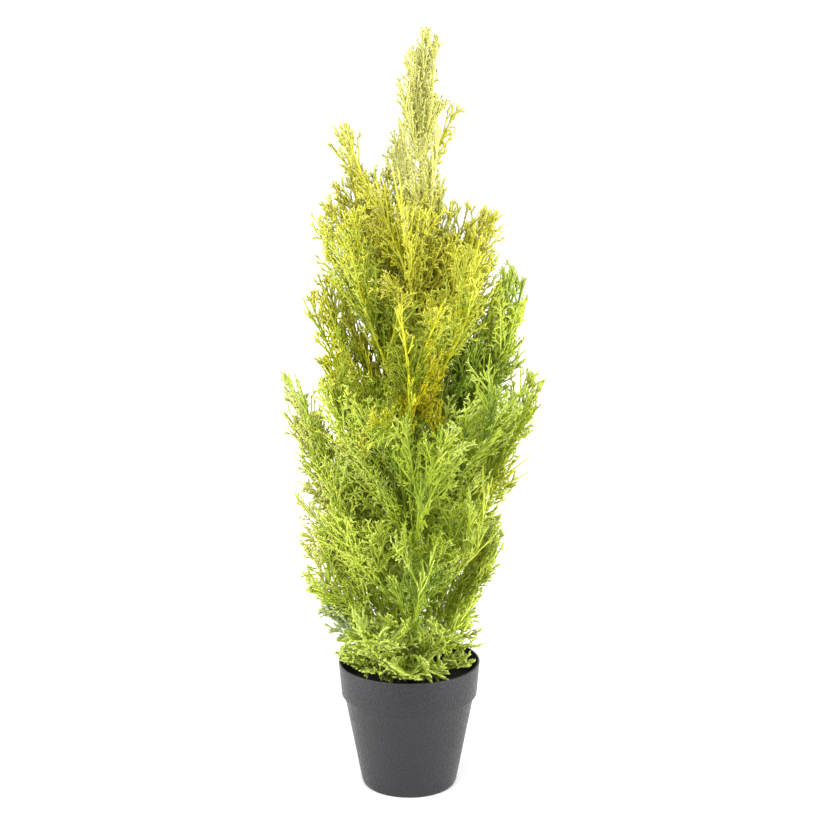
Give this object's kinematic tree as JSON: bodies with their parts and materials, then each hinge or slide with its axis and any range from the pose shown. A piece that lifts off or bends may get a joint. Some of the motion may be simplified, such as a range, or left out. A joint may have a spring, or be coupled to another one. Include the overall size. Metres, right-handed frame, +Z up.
{
  "type": "artificial potted cypress",
  "caption": "Slim artificial cypress with flat moulded fronds on a thin trunk, green at the foot and gold at the top, in a grey plastic pot with a collar.",
  "frame": {"origin": "centre of the pot's flat underside", "axes": "+Z up along the trunk, and the side that the picture shows faces -Y"},
  "size_m": [0.2713, 0.2583, 0.7513],
  "materials": {
    "pot_plastic": "dark grey moulded plastic with a fine grain",
    "filling": "black, rough and dull",
    "trunk_bark": "brown stem with a rough wrapped bark",
    "foot_green": "soft moulded foliage, light fresh green",
    "fresh_green": "soft moulded foliage, fresh green",
    "deep_green": "soft moulded foliage, deep green",
    "yellow_green": "soft moulded foliage, yellow green",
    "gold_green": "soft moulded foliage, pale gold green"
  },
  "bodies": {
    "root": {"pot": "pot_plastic", "filling": "filling", "trunk": "trunk_bark", "skirt_frond_1": "foot_green", "skirt_frond_2": "foot_green", "skirt_frond_3": "foot_green", "skirt_frond_4": "foot_green", "skirt_frond_5": "foot_green", "foot_frond_1": "foot_green", "foot_frond_2": "foot_green", "foot_frond_3": "foot_green", "foot_frond_4": "foot_green", "foot_frond_5": "foot_green", "low_frond_1": "fresh_green", "low_frond_2": "fresh_green", "low_frond_3": "fresh_green", "low_frond_4": "fresh_green", "lower_frond_1": "fresh_green", "lower_frond_2": "fresh_green", "lower_frond_3": "fresh_green", "lower_frond_4": "fresh_green", "middle_frond_1": "fresh_green", "middle_frond_2": "fresh_green", "middle_frond_3": "fresh_green", "middle_frond_4": "fresh_green", "upper_frond_1": "deep_green", "upper_frond_2": "deep_green", "upper_frond_3": "deep_green", "upper_frond_4": "deep_green", "high_frond_1": "yellow_green", "high_frond_2": "yellow_green", "high_frond_3": "yellow_green", "high_frond_4": "yellow_green", "higher_frond_1": "yellow_green", "higher_frond_2": "yellow_green", "higher_frond_3": "yellow_green", "higher_frond_4": "yellow_green", "shoulder_frond_1": "gold_green", "shoulder_frond_2": "gold_green", "shoulder_frond_3": "gold_green", "shoulder_frond_4": "gold_green", "crown_frond_1": "gold_green", "crown_frond_2": "gold_green", "crown_frond_3": "gold_green", "crown_frond_4": "gold_green", "leader_frond": "gold_green"}
  },
  "joints": []
}
